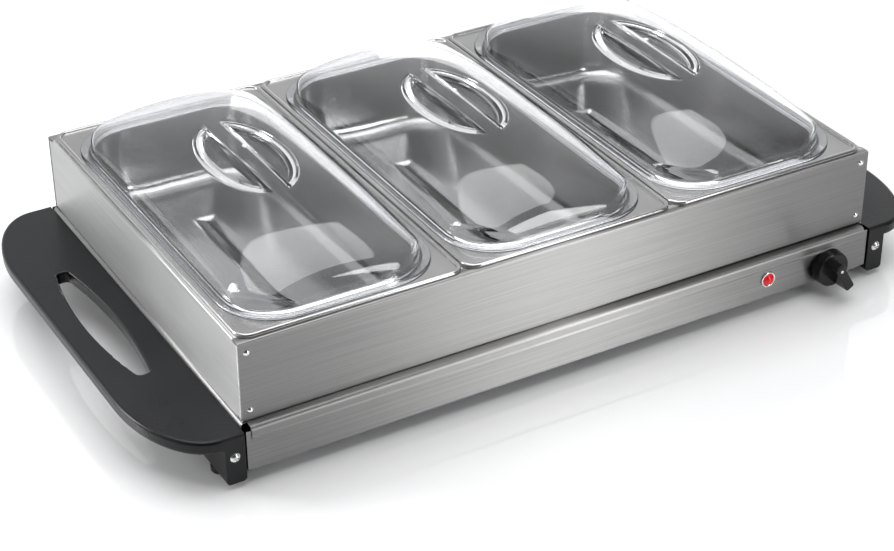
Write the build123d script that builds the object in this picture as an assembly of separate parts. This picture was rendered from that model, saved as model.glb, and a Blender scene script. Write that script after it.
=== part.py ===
from build123d import *
import os
from math import sqrt

# Electric buffet server: a heated tray on a low base, a lift-off frame that hangs three
# pans over it, and a clear lid on each pan.  Millimetres, +X to the right along the front,
# +Y to the back, +Z up.  Everything is drawn about the middle of the frame, and save()
# moves it back along Y, so that the origin is under the middle of the whole object.

# ---- driving dimensions -------------------------------------------------------------
FRAME_LENGTH = 540.0
FRAME_DEPTH = 350.0
FRAME_HEIGHT = 64.0
BASE_HEIGHT = 47.0          # floor to the top of the hot plate
FOOT_HEIGHT = 5.0           # floor to the underside of the legs
SHEET = 0.6                 # stainless sheet of the frame and the base
BEND = 1.6                  # outside radius of a folded edge
SEAT_GAP = 0.05             # between a lifted-off piece and what it rests on
EDGE_ROUND = 0.25           # rounding of the sheet's cut edges
FIT = 0.05                  # radial clearance of a screw, rivet or shaft in its hole
FOLD_GAP = 0.2              # between folded sheets that pass each other

# Upper frame
LIP_WIDTH = 9.0             # folded top lip that the pans hang on
FRAME_FLANGE = 7.0          # folded bottom flange that stands on the hot plate
CORNER_FLANGE = 14.0        # side panel's flange, riveted behind the front and rear panels
CORNER_BEND = 2.4
RIVET_INSET = 6.5
RIVET_DROP = 8.5
RIVET_RADIUS = 1.6
RIVET_HEAD = (2.6, 1.3)     # radius and height
RIVET_TAIL = (2.3, 0.8)
DIVIDER_WIDTH = 20.0
DIVIDER_HEIGHT = 10.0
DIVIDER_END_GAP = 1.2

# Hot plate and base
PLATE_OVERHANG = 8.0        # how far the hot plate stands in front of the frame
PLATE_SKIRT = 9.5
PLATE_BEND = 3.2
PLATE_HEM = (0.9, 1.2, 0.8)  # skirt's turned-out edge: reach, height and bend
PLATE_NOTCH = 3.0           # the front skirt stops this far inside the frame's end
PLATE_SIDE_OVERHANG = 2.0
PANEL_BOTTOM = 11.0         # height of the base panels' lower edge
PANEL_SETBACK = 0.4         # base panel behind the inside of the skirt
PANEL_FLANGE = 12.0
BASE_HALF_LENGTH = 271.0
COVER_HALF_LENGTH = 266.0
COVER_INSET = 1.5           # cover's long edges inside the base panels' faces
VENT_LENGTH = 46.0
VENT_WIDTH = 4.0
VENT_COLUMNS = (-170.0, 0.0, 170.0)
VENT_ROWS = [12.0 * row for row in range(-4, 5)]
COVER_SCREW_COLUMNS = (-254.0, -80.0, 80.0, 254.0)
COVER_SCREW = (3.0, 1.6, 1.5, 5.0)   # head radius, head height, shank radius, shank length

# Side handles
HANDLE_REACH = 335.0        # centre to the outer edge of a handle
HANDLE_HALF_DEPTH = 183.0
HANDLE_THICKNESS = 10.5
HANDLE_DROP = 2.5           # top of the handle below the top of the hot plate
HANDLE_INNER = 272.6
CORNER_ELLIPSE = (45.0, 83.0)
HANDLE_ROUND = 2.6
SLOT_HALF_LENGTH = 80.0
SLOT_INNER = 291.0
SLOT_OUTER = 316.0
SLOT_END_INNER = 298.0
SLOT_END_OUTER = 307.0
SLOT_CORNER = 3.8
SLOT_ROUND = 2.0
LEG_WIDTH = 15.4
LEG_DEPTH = 42.0
LEG_ROUND = 3.0
HANDLE_WALL = 3.0           # inner wall against the base's side
HANDLE_WALL_HALF_LENGTH = 150.0
HANDLE_RIB_DROP = 3.0       # legs and inner wall stop this far below the grip's top
FOOT_RADIUS = 7.0
FOOT_X = 281.0
FOOT_Y = 156.0
FOOT_ROUND = 1.2
FOOT_STEM = (2.4, 6.0)      # radius and height
SCREW_X = 280.5
SCREW_Z = 26.5
HANDLE_SCREW = (3.9, 2.0, 1.75, 13.0)

# Pans
CELL_PITCH = 178.5
RIM_LENGTH = 177.0
RIM_DEPTH = 344.0
RIM_CORNER = 11.0
RIM_BEAD_WIDTH = 3.6
RIM_BEAD_HEIGHT = 2.2
PAN_SHEET = 0.6
PAN_OPENING = (151.0, 312.0)
PAN_CORNER = 40.0
PAN_DEPTH = 60.0
PAN_TAPER = 5.0
PAN_SHOULDER = 3.0
PAN_FLOOR_ROUND = 12.0

# Lids
LID_WALL = 2.0
LID_FLANGE = (165.0, 330.0)
LID_FLANGE_THICKNESS = 1.6
LID_FLANGE_CORNER = 45.0
LID_BASE = (151.0, 312.0)
LID_BASE_CORNER = 40.0
LID_RISE = 44.4             # from the top of the flange to the crown
LID_FULLNESS = 2.5          # how far the dome stays high towards its ends
LID_STATIONS = (0.15, 0.3, 0.44, 0.56, 0.66, 0.744, 0.8, 0.87, 0.93, 0.97, 0.99, 1.0)
LID_EDGE_RISE = 1.0         # height of the dome's blunt ends
ROUND_ARCH = 0.5523         # control handle that makes a Bezier quarter arc elliptic
LID_RIB_DEPTH = 2.4
LID_RIB_CLEARANCE = 1.2
GRIP_LENGTH = 118.0
GRIP_WIDTH = 62.0
GRIP_BAR = 16.0
GRIP_DEPTH = 12.0

# Controls on the front base panel
KNOB_X = 231.0
LAMP_X = 174.5
CONTROL_Z = 24.5
LAMP_Z = 28.0
KNOB_RADIUS = 15.0
KNOB_DISC = 8.0
KNOB_DRAFT = 0.7            # how much the knob's round base narrows towards the front
KNOB_ROUND = 1.2
GRIP_BLADE = (27.0, 9.0, 14.5)   # length, width and height of the knob's grip
BLADE_CORNER = 2.4
BLADE_TAPER = 2.0
BLADE_ROUND = 1.0
KNOB_REST_ANGLE = 30.0      # grip leans this far from upright, dot to the left
BEZEL_RADIUS = 12.4
BEZEL_THICKNESS = 2.5
BEZEL_CHAMFER = 0.8
BEZEL_BORE = 4.2
COLLAR_RADIUS = 5.0
COLLAR_LENGTH = 1.8
KNOB_GAP = 0.6
KNOB_SOCKET = 12.5          # depth of the shaft's socket in the knob
KNOB_DOT = (1.35, 0.5, 5.5)      # radius, thickness and distance from the end of the grip
SHAFT_RADIUS = 3.0
SHAFT_ENGAGE = 8.0          # length of the shaft inside the thermostat
LENS_RADIUS = 4.9
LENS_DOME = 3.2
LENS_COLLAR = 0.7
LENS_STEM = (4.5, 8.0)      # radius and length
LENS_STEM_BORE = 3.3
LAMP_BEZEL_RADIUS = 6.6
LAMP_BEZEL_HEIGHT = 1.4
LAMP_BEZEL_GAP = 0.1        # between the ring and the lens
LAMP_BEZEL_ROUND = 0.55
PANEL_HOLE_GAP = 0.2        # round the parts that pass through the front base panel
LAMP_CLIP = (8.0, 1.2)      # radius and thickness
NEON = (2.6, 10.0)          # radius and length
NEON_PIN = (0.4, 8.0, 1.2)  # radius, length, distance from the lamp's axis

# Thermostat behind the front base panel
THERMOSTAT_SIZE = (26.0, 17.0, 19.0)
THERMOSTAT_GAP = 1.3        # between the panel and the thermostat
BRACKET_SIZE = (38.0, 1.0, 18.0)
BRACKET_BORE = 5.0
BRACKET_CORNER = 3.0
BRACKET_GAP = 0.1           # between the bracket and the thermostat
THERMOSTAT_CORNER = 2.0
SHAFT_FLAT = 1.6            # height of the shaft's flat above its axis
TAB_OFFSET = 8.0            # terminal tabs left and right of the shaft
TAB_SIZE = (6.2, 7.0, 0.8)
BIMETAL = (6.0, 0.8, 8.0)   # width, thickness and reach

# Terminal block, wires and earth stud
TERMINAL_X = 120.0
TERMINAL_FRONT = -152.0
TERMINAL_BACK = -134.0
TERMINAL_SIZE = (32.0, 12.0)         # length and height
POLE_PITCH = 10.0
POLE_BORE = 1.6
POLE_SCREW = 1.7
TERMINAL_CORNER = 1.5
LEAD_RADIUS = 1.1
LEAD_BEND = 5.0
LEAD_TOP = 33.0             # where the leads end, just under the heating wire
EARTH_X = 70.0
EARTH_Y = -98.0
EARTH_STUD = (2.0, 10.0)    # radius and height
EARTH_TAG = (6.0, 11.0, 0.8)

# Cord entry in the rear base panel
GLAND_X = 205.0
GLAND_BORE = 3.7
GLAND_LENGTH = 12.0
GLAND_STAND_OUT = 4.0
GLAND_BODY = 5.5
GLAND_FLANGE = 8.5
GLAND_NUT = (7.5, 2.0)      # radius and thickness
GLAND_NUT_GAP = 0.1
GLAND_ROUND = 1.2

# Heating element under the hot plate
FOIL_SIZE = (484.0, 312.0, 8.0)      # length, depth and corner
FOIL_THICKNESS = 0.4
FOIL_GAP = 0.02             # between the foil and the plate
WIRE_GAP = 0.1              # between the heating wire and the foil
WIRE_RADIUS = 1.2
HEATER_RUNS = 8
HEATER_PITCH = 36.0
HEATER_HALF_LENGTH = 215.0
HEATER_TAIL_BENDS = (10.0, 12.0)
TAIL_Y = -150.0             # where both tails of the heating wire end
NEAR_TAIL_X = 213.0
FAR_TAIL_X = 245.0
MAT_SIZE = (510.0, 330.0, 6.0)
MAT_THICKNESS = 5.0
MAT_GAP = 1.2               # between the mat and the heating wire
TRAY_SIZE = (514.0, 334.0, 8.0)
TRAY_SHEET = 0.8
TRAY_RIM_DROP = 1.0         # rim of the tray below the top of the mat
FUSE_X = 205.0
FUSE_Y = -108.0
FUSE_DROP = 0.75            # fuse's axis below the heating wire's
FUSE_SIZE = (1.9, 12.0)     # radius and length
FUSE_PIN = (0.5, 4.5)
CLIP_RADIUS = 2.6
CLIP_SHEET = 0.5
CLIP_WIDTH = 4.0
CLIP_EAR = 3.85
FUSE_WINDOW = (26.0, 20.0)  # window in the mat for the fuse and its clip

# ---- levels and faces worked out from them ---------------------------------------------
HALF_LENGTH = FRAME_LENGTH / 2
HALF_DEPTH = FRAME_DEPTH / 2
FRAME_BOTTOM = BASE_HEIGHT + SEAT_GAP
FRAME_TOP = BASE_HEIGHT + FRAME_HEIGHT
DECK_BOTTOM = FRAME_TOP + SEAT_GAP
DECK_TOP = DECK_BOTTOM + PAN_SHEET
LID_BOTTOM = DECK_TOP + SEAT_GAP
FLANGE_TOP = LID_BOTTOM + LID_FLANGE_THICKNESS
CROWN = FLANGE_TOP + LID_RISE
PLATE_HALF_DEPTH = HALF_DEPTH + PLATE_OVERHANG
PANEL_FACE = PLATE_HALF_DEPTH - SHEET - PANEL_SETBACK
PLATE_UNDERSIDE = BASE_HEIGHT - SHEET
PANEL_TOP = BASE_HEIGHT - PLATE_BEND - FOLD_GAP
HANDLE_TOP = BASE_HEIGHT - HANDLE_DROP
COVER_TOP = PANEL_BOTTOM - SEAT_GAP
HEATER_LEVEL = PLATE_UNDERSIDE - FOIL_THICKNESS - WIRE_GAP - WIRE_RADIUS
HEATER_FRONT = -HEATER_PITCH * (HEATER_RUNS - 1) / 2
FUSE_LEVEL = HEATER_LEVEL - FUSE_DROP
MAT_TOP = HEATER_LEVEL - WIRE_RADIUS - MAT_GAP
MAT_BOTTOM = MAT_TOP - MAT_THICKNESS
INSIDE_FLOOR = COVER_TOP + SEAT_GAP
WIRE_Z = INSIDE_FLOOR + TERMINAL_SIZE[1] / 2
THERMOSTAT_FRONT = -PANEL_FACE + SHEET + THERMOSTAT_GAP
THERMOSTAT_BACK = THERMOSTAT_FRONT + THERMOSTAT_SIZE[1]
TAB_BOTTOM = WIRE_Z + LEAD_RADIUS + SEAT_GAP
KNOB_BACK = -PANEL_FACE - BEZEL_THICKNESS - KNOB_GAP
KNOB_FRONT = KNOB_BACK - KNOB_DISC - GRIP_BLADE[2]
REAR_REACH = PANEL_FACE + GLAND_STAND_OUT
BODY_SHIFT = (-KNOB_FRONT - REAR_REACH) / 2


# ---- helpers --------------------------------------------------------------------------
def save(name, shape):
    """Write one node, moved so that the origin is under the middle of the object."""
    export_step(Pos(0, BODY_SHIFT, 0) * shape, f"parts/{name}.step")


def block(x0, x1, y0, y1, z0, z1):
    """A box from its two opposite corners."""
    return Pos((x0 + x1) / 2, (y0 + y1) / 2, (z0 + z1) / 2) * Box(abs(x1 - x0), abs(y1 - y0), abs(z1 - z0))


def slab(length, depth, corner, z0, z1):
    """A level plate with round corners."""
    return extrude(Pos(0, 0, z0) * RectangleRounded(length, depth, corner), z1 - z0)


def rod_y(x, z, radius, y0, y1):
    """A round bar along Y."""
    return Pos(x, (y0 + y1) / 2, z) * Rot(90, 0, 0) * Cylinder(radius, abs(y1 - y0))


def rod_x(y, z, radius, x0, x1):
    """A round bar along X."""
    return Pos((x0 + x1) / 2, y, z) * Rot(0, 90, 0) * Cylinder(radius, abs(x1 - x0))


def rod_z(x, y, radius, z0, z1):
    """A round bar along Z."""
    return Pos(x, y, (z0 + z1) / 2) * Cylinder(radius, abs(z1 - z0))


def folded(plane, outline, side, length, bend=BEND, sheet=SHEET):
    """Sheet metal: an open outline of the outer face, thickened to one side and extruded."""
    outer = FilletPolyline(*outline, radius=bend)
    profile = make_face(offset(outer, amount=sheet, side=side, closed=True))
    ends = (Vector(outline[0]), Vector(outline[-1]))
    cut_corners = [v for v in profile.vertices() if min((Vector(v) - end).length for end in ends) < 2 * sheet]
    return extrude(plane * fillet(cut_corners, EDGE_ROUND), length / 2, both=True)


def tapered_tub(size, corner, top, depth, floor_round):
    """A solid that narrows downwards, with rounded floor edges."""
    face = Plane(origin=(0, 0, top), z_dir=(0, 0, -1)) * RectangleRounded(*size, corner)
    solid = extrude(face, depth, taper=PAN_TAPER)
    return fillet(solid.edges().group_by(Axis.Z)[0], floor_round)


def lead(points, radius, bend):
    """A round wire along straight runs joined by tangent arcs."""
    path = FilletPolyline(*points, radius=bend)
    start = Plane(origin=path @ 0, z_dir=path % 0)
    return sweep(start * Circle(radius), path=path)


def both_ends(shape):
    """A shape and its mirror image at the other end of the object."""
    return shape, mirror(shape, about=Plane.YZ)


def dome_head(radius, height):
    """A low domed head on the XY plane, bulging along +Z."""
    sphere_radius = (radius ** 2 + height ** 2) / (2 * height)
    ball = Pos(0, 0, height - sphere_radius) * Sphere(sphere_radius)
    return ball & Pos(0, 0, height) * Cylinder(radius, 2 * height)


# ---- upper frame ------------------------------------------------------------------------
def rivet_places():
    """Centres of the rivets on the front panel."""
    for x in (-HALF_LENGTH + RIVET_INSET, HALF_LENGTH - RIVET_INSET):
        for z in (FRAME_BOTTOM + RIVET_DROP, FRAME_TOP - RIVET_DROP):
            yield x, z


def frame_front_panel():
    outline = [
        (-HALF_DEPTH + FRAME_FLANGE, FRAME_BOTTOM),
        (-HALF_DEPTH, FRAME_BOTTOM),
        (-HALF_DEPTH, FRAME_TOP),
        (-HALF_DEPTH + LIP_WIDTH, FRAME_TOP),
    ]
    panel = folded(Plane.YZ, outline, Side.RIGHT, FRAME_LENGTH)
    for x, z in rivet_places():
        panel -= rod_y(x, z, RIVET_RADIUS + FIT, -HALF_DEPTH - SHEET, -HALF_DEPTH + 2 * SHEET)
    return panel


def frame_side_left():
    """Side panel with top and bottom folds, and a flange behind each end panel."""
    outline = [
        (-HALF_LENGTH + FRAME_FLANGE, FRAME_BOTTOM),
        (-HALF_LENGTH, FRAME_BOTTOM),
        (-HALF_LENGTH, FRAME_TOP),
        (-HALF_LENGTH + LIP_WIDTH, FRAME_TOP),
    ]
    straight = 2 * (HALF_DEPTH - LIP_WIDTH - FOLD_GAP)
    panel = folded(Plane.XZ, outline, Side.RIGHT, straight)
    flange_face = HALF_DEPTH - SHEET
    wrap = [
        (-HALF_LENGTH + CORNER_FLANGE, -flange_face),
        (-HALF_LENGTH, -flange_face),
        (-HALF_LENGTH, flange_face),
        (-HALF_LENGTH + CORNER_FLANGE, flange_face),
    ]
    low = FRAME_BOTTOM + BEND + FOLD_GAP
    high = FRAME_TOP - BEND - FOLD_GAP
    ends = folded(Plane.XY, wrap, Side.RIGHT, high - low, bend=CORNER_BEND)
    panel += Pos(0, 0, (low + high) / 2) * ends
    for x, z in rivet_places():
        panel -= rod_y(x, z, RIVET_RADIUS + FIT, -HALF_DEPTH, HALF_DEPTH)
    return panel


def frame_rivets():
    """Domed rivets through the corner flanges, front and rear."""
    grip = 2 * SHEET
    tail_radius, tail_height = RIVET_TAIL
    rivet = dome_head(*RIVET_HEAD)
    rivet += Pos(0, 0, -grip / 2) * Cylinder(RIVET_RADIUS, grip)
    rivet += Pos(0, 0, -grip - tail_height / 2) * Cylinder(tail_radius, tail_height)
    rivets = []
    for x, z in rivet_places():
        rivets.append(Pos(x, -HALF_DEPTH, z) * Rot(90, 0, 0) * rivet)
        rivets.append(Pos(x, HALF_DEPTH, z) * Rot(-90, 0, 0) * rivet)
    return Compound(children=rivets)


def divider_bar(x):
    """Inverted channel under the seam between two pans."""
    top = FRAME_TOP - SHEET
    half = DIVIDER_WIDTH / 2
    outline = [(-half, top - DIVIDER_HEIGHT), (-half, top), (half, top), (half, top - DIVIDER_HEIGHT)]
    length = 2 * (HALF_DEPTH - SHEET - DIVIDER_END_GAP)
    return Pos(x, 0, 0) * folded(Plane.XZ, outline, Side.RIGHT, length)


# ---- pans and lids ----------------------------------------------------------------------
def mouth_edges(body, level):
    """Edges round the mouth of a pan's tub, at one level."""
    half_x, half_y = (side / 2 + 2 * PAN_SHEET for side in PAN_OPENING)
    at_level = body.edges().filter_by_position(Axis.Z, level - 0.01, level + 0.01)
    return [e for e in at_level if abs(e.center().X) < half_x and abs(e.center().Y) < half_y]


def pan():
    """Pressed pan: beaded rim, flat deck, soft shoulder and a tapered tub."""
    outer_size = [side + 2 * PAN_SHEET for side in PAN_OPENING]
    body = slab(RIM_LENGTH, RIM_DEPTH, RIM_CORNER, DECK_BOTTOM, DECK_TOP)
    body += tapered_tub(outer_size, PAN_CORNER + PAN_SHEET, DECK_BOTTOM, PAN_DEPTH, PAN_FLOOR_ROUND)
    body = fillet(mouth_edges(body, DECK_BOTTOM), PAN_SHOULDER - PAN_SHEET)
    inner_round = PAN_FLOOR_ROUND - PAN_SHEET
    body -= tapered_tub(PAN_OPENING, PAN_CORNER, DECK_TOP, PAN_DEPTH, inner_round)
    body = fillet(mouth_edges(body, DECK_TOP), PAN_SHOULDER)

    bead_top = DECK_TOP + RIM_BEAD_HEIGHT
    bead = slab(RIM_LENGTH, RIM_DEPTH, RIM_CORNER, DECK_BOTTOM, bead_top)
    inner = [side - 2 * RIM_BEAD_WIDTH for side in (RIM_LENGTH, RIM_DEPTH)]
    bead -= slab(*inner, RIM_CORNER - RIM_BEAD_WIDTH, DECK_BOTTOM, bead_top)
    return body + fillet(bead.edges().group_by(Axis.Z)[-1], RIM_BEAD_WIDTH * 0.4)


def dome_section(y, base, corner, bottom, crown):
    """Cross-section of the dome at one station along its length."""
    half_x, half_y = (side / 2 for side in base)
    beyond = max(abs(y) - half_y + corner, 0)
    width = half_x - corner + sqrt(max(corner ** 2 - beyond ** 2, 0))
    share = sqrt(1 - min(abs(y) / half_y, 1) ** LID_FULLNESS)
    rise = max(share * (crown - FLANGE_TOP), LID_EDGE_RISE)
    foot = FLANGE_TOP
    top = foot + rise
    handle = foot + ROUND_ARCH * rise
    reach = ROUND_ARCH * width
    outline = Bezier((width, foot), (width, handle), (reach, top), (0, top))
    outline += Bezier((0, top), (-reach, top), (-width, handle), (-width, foot))
    outline += Polyline((-width, foot), (-width, bottom), (width, bottom), (width, foot))
    return Plane(origin=(0, y, 0), x_dir=(1, 0, 0), z_dir=(0, -1, 0)) * make_face(outline)


def dome(base, corner, bottom, crown):
    """Pillow-shaped dome on a footprint with round corners."""
    ahead = [share * base[1] / 2 for share in LID_STATIONS]
    stations = [-y for y in reversed(ahead)] + [0] + ahead
    return loft([dome_section(y, base, corner, bottom, crown) for y in stations])


def grip_pockets(grow, floor):
    """Two D-shaped finger pockets either side of the grip bar."""
    shape = Ellipse(GRIP_WIDTH / 2 + grow, GRIP_LENGTH / 2 + grow)
    shape -= Rectangle(GRIP_BAR - 2 * grow, GRIP_LENGTH + 4 * LID_WALL)
    return extrude(Pos(0, 0, floor) * shape, CROWN + LID_WALL - floor)


def lid():
    """One clear moulding: flange, dome, finger pockets and a locating rib."""
    shell = dome(LID_BASE, LID_BASE_CORNER, LID_BOTTOM, CROWN)
    shell += slab(*LID_FLANGE, LID_FLANGE_CORNER, LID_BOTTOM, FLANGE_TOP)
    rib_size = [side - 2 * LID_RIB_CLEARANCE for side in PAN_OPENING]
    shell += slab(*rib_size, PAN_CORNER - LID_RIB_CLEARANCE, LID_BOTTOM - LID_RIB_DEPTH, LID_BOTTOM)
    inner = [side - 2 * LID_WALL for side in LID_BASE]
    corner = LID_BASE_CORNER - LID_WALL
    low = LID_BOTTOM - LID_RIB_DEPTH - 1
    air = dome(inner, corner, low, CROWN - LID_WALL)
    floor = CROWN - GRIP_DEPTH
    air -= grip_pockets(LID_WALL, floor - LID_WALL)
    return shell - grip_pockets(0, floor) - air


# ---- base unit ----------------------------------------------------------------------------
def hot_plate():
    """Shallow inverted tray with notched corners and a turned-out edge along its long skirts."""
    skirt_bottom = BASE_HEIGHT - PLATE_SKIRT
    hem_reach, hem_height, hem_bend = PLATE_HEM
    front = [
        (-PLATE_HALF_DEPTH - hem_reach, skirt_bottom),
        (-PLATE_HALF_DEPTH, skirt_bottom + hem_height),
        (-PLATE_HALF_DEPTH, BASE_HEIGHT),
        (PLATE_HALF_DEPTH, BASE_HEIGHT),
        (PLATE_HALF_DEPTH, skirt_bottom + hem_height),
        (PLATE_HALF_DEPTH + hem_reach, skirt_bottom),
    ]
    bends = [hem_bend, PLATE_BEND, PLATE_BEND, hem_bend]
    long_strip = folded(Plane.YZ, front, Side.RIGHT, 2 * (HALF_LENGTH - PLATE_NOTCH), bend=bends)
    half = HALF_LENGTH + PLATE_SIDE_OVERHANG
    side = [(-half, skirt_bottom), (-half, BASE_HEIGHT), (half, BASE_HEIGHT), (half, skirt_bottom)]
    cross_strip = folded(Plane.XZ, side, Side.RIGHT, 2 * HALF_DEPTH, bend=PLATE_BEND)
    return long_strip + cross_strip


def base_panel(front):
    """Front or rear wall of the base, folded inwards at its foot."""
    outline = [
        (-PANEL_FACE + PANEL_FLANGE, PANEL_BOTTOM),
        (-PANEL_FACE, PANEL_BOTTOM),
        (-PANEL_FACE, PANEL_TOP),
    ]
    panel = folded(Plane.YZ, outline, Side.RIGHT, 2 * BASE_HALF_LENGTH)
    if not front:
        panel = mirror(panel, about=Plane.XZ)
    screw_hole = COVER_SCREW[2] + FIT
    panel -= [rod_z(x, y, screw_hole, PANEL_BOTTOM, PANEL_BOTTOM + SHEET) for x, y in cover_screw_places()]
    if front:
        panel -= rod_y(KNOB_X, CONTROL_Z, COLLAR_RADIUS + PANEL_HOLE_GAP, -PANEL_FACE, -PANEL_FACE + SHEET)
        panel -= rod_y(LAMP_X, LAMP_Z, LENS_STEM[0] + PANEL_HOLE_GAP, -PANEL_FACE, -PANEL_FACE + SHEET)
    else:
        panel -= rod_y(GLAND_X, CONTROL_Z, GLAND_BODY + FIT, PANEL_FACE - SHEET, PANEL_FACE)
    return panel


def base_side_left():
    """Inner side wall of the base, with a foot flange that carries the bottom cover."""
    x = -BASE_HALF_LENGTH
    outline = [(x + PANEL_FLANGE, PANEL_BOTTOM), (x, PANEL_BOTTOM), (x, PANEL_TOP)]
    return folded(Plane.XZ, outline, Side.RIGHT, 2 * (PANEL_FACE - PANEL_FLANGE - FOLD_GAP))


def cover_screw_places():
    """Centres of the screws that hold the bottom cover, along both long edges."""
    inset = PANEL_FACE - PANEL_FLANGE / 2
    return [(x, y) for x in COVER_SCREW_COLUMNS for y in (-inset, inset)]


def bottom_cover():
    """Closing plate under the base, with rows of vent slots."""
    cover = block(
        -COVER_HALF_LENGTH,
        COVER_HALF_LENGTH,
        -PANEL_FACE + COVER_INSET,
        PANEL_FACE - COVER_INSET,
        COVER_TOP - SHEET,
        COVER_TOP,
    )
    vent = extrude(SlotOverall(VENT_LENGTH, VENT_WIDTH), SHEET)
    cuts = [Pos(x, y, COVER_TOP - SHEET) * vent for x in VENT_COLUMNS for y in VENT_ROWS]
    screw_hole = COVER_SCREW[2] + FIT
    cuts += [rod_z(x, y, screw_hole, COVER_TOP - SHEET, COVER_TOP) for x, y in cover_screw_places()]
    return cover - cuts


def pan_head_screw(head_radius, head_height, shank_radius, length):
    """Cross-recessed screw on the XY plane: head along +Z, shank along -Z."""
    head = dome_head(head_radius, head_height)
    arm = head_radius * 1.1
    for turn in (0, 90):
        head -= Rot(0, 0, turn) * Pos(0, 0, head_height) * Box(arm, head_radius * 0.26, head_height * 1.1)
    return head + Pos(0, 0, -length / 2) * Cylinder(shank_radius, length)


def cover_screws():
    screw = Rot(180, 0, 0) * pan_head_screw(*COVER_SCREW)
    return Compound(children=[Pos(x, y, COVER_TOP - SHEET) * screw for x, y in cover_screw_places()])


def hand_slot():
    """Lens-shaped outline with blunt rounded ends, in the left handle."""
    end = SLOT_HALF_LENGTH
    inner_a = (-SLOT_END_INNER, -end)
    inner_b = (-SLOT_END_INNER, end)
    outer_a = (-SLOT_END_OUTER, -end)
    outer_b = (-SLOT_END_OUTER, end)
    outline = ThreePointArc(inner_a, (-SLOT_INNER, 0), inner_b) + Line(inner_b, outer_b)
    outline += ThreePointArc(outer_b, (-SLOT_OUTER, 0), outer_a) + Line(outer_a, inner_a)
    slot = make_face(outline)
    return fillet(slot.vertices(), SLOT_CORNER)


def handle_left():
    """Moulded grip plate with a hand slot, an inner wall and two legs."""
    end_x, end_y = CORNER_ELLIPSE
    corner_x = -HANDLE_REACH + end_x
    corner_y = HANDLE_HALF_DEPTH - end_y
    outline = Polyline(
        (corner_x, HANDLE_HALF_DEPTH),
        (-HANDLE_INNER, HANDLE_HALF_DEPTH),
        (-HANDLE_INNER, -HANDLE_HALF_DEPTH),
        (corner_x, -HANDLE_HALF_DEPTH),
    )
    outline += EllipticalCenterArc((corner_x, corner_y), end_x, end_y, start_angle=90, arc_size=90)
    outline += Line((-HANDLE_REACH, corner_y), (-HANDLE_REACH, -corner_y))
    outline += EllipticalCenterArc((corner_x, -corner_y), end_x, end_y, start_angle=180, arc_size=90)
    bottom = HANDLE_TOP - HANDLE_THICKNESS
    plate = extrude(Pos(0, 0, bottom) * make_face(outline), HANDLE_THICKNESS)
    rim = [e for e in plate.edges() if e.center().X < -HANDLE_INNER - 0.5 and abs(e.tangent_at(0).Z) < 0.5]
    plate = fillet(rim, HANDLE_ROUND)

    plate -= extrude(Pos(0, 0, bottom - 1) * hand_slot(), HANDLE_THICKNESS + 2)
    near_slot = [
        e
        for e in plate.edges()
        if abs(e.center().Y) < SLOT_HALF_LENGTH + SLOT_CORNER
        and -SLOT_OUTER - SLOT_ROUND < e.center().X < -SLOT_INNER + SLOT_ROUND
    ]
    plate = fillet([e for e in near_slot if abs(e.tangent_at(0).Z) < 0.5], SLOT_ROUND)

    rib_top = HANDLE_TOP - HANDLE_RIB_DROP
    wall_end = HANDLE_WALL_HALF_LENGTH
    wall_out = HANDLE_INNER + HANDLE_WALL
    handle = plate + block(-wall_out, -HANDLE_INNER, -wall_end, wall_end, PANEL_BOTTOM, rib_top)
    screw_radius, screw_length = HANDLE_SCREW[2:]
    stem_radius, stem_height = FOOT_STEM
    for sign in (-1, 1):
        leg_end = sign * HANDLE_HALF_DEPTH
        leg = block(
            -HANDLE_INNER - LEG_WIDTH,
            -HANDLE_INNER,
            leg_end,
            leg_end - sign * LEG_DEPTH,
            FOOT_HEIGHT,
            rib_top,
        )
        handle += fillet(leg.edges().filter_by(Axis.Y).sort_by(Axis.Z)[:2], LEG_ROUND)
        screw_end = leg_end - sign * (screw_length + 1)
        handle -= rod_y(-SCREW_X, SCREW_Z, screw_radius + FIT, leg_end, screw_end)
        stem_end = FOOT_HEIGHT + stem_height + 1
        handle -= rod_z(-FOOT_X, sign * FOOT_Y, stem_radius + FIT, FOOT_HEIGHT, stem_end)
    return handle


def handle_screws():
    """Cross-recessed screws that hold the legs, front and rear."""
    screw = pan_head_screw(*HANDLE_SCREW)
    screws = []
    for x in (-SCREW_X, SCREW_X):
        screws.append(Pos(x, -HANDLE_HALF_DEPTH, SCREW_Z) * Rot(90, 0, 0) * screw)
        screws.append(Pos(x, HANDLE_HALF_DEPTH, SCREW_Z) * Rot(-90, 0, 0) * screw)
    return Compound(children=screws)


def rubber_feet():
    """Round feet with a stem pushed up into each leg."""
    pad = Pos(0, 0, FOOT_HEIGHT / 2) * Cylinder(FOOT_RADIUS, FOOT_HEIGHT)
    foot = fillet(pad.edges().group_by(Axis.Z)[0], FOOT_ROUND)
    stem_radius, stem_height = FOOT_STEM
    foot += Pos(0, 0, FOOT_HEIGHT + stem_height / 2) * Cylinder(stem_radius, stem_height)
    places = [(x, y) for x in (-FOOT_X, FOOT_X) for y in (-FOOT_Y, FOOT_Y)]
    return Compound(children=[Pos(x, y, 0) * foot for x, y in places])


# ---- heating element ------------------------------------------------------------------------
def heater_foil():
    top = PLATE_UNDERSIDE - FOIL_GAP
    return slab(*FOIL_SIZE, top - FOIL_THICKNESS, top)


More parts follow.
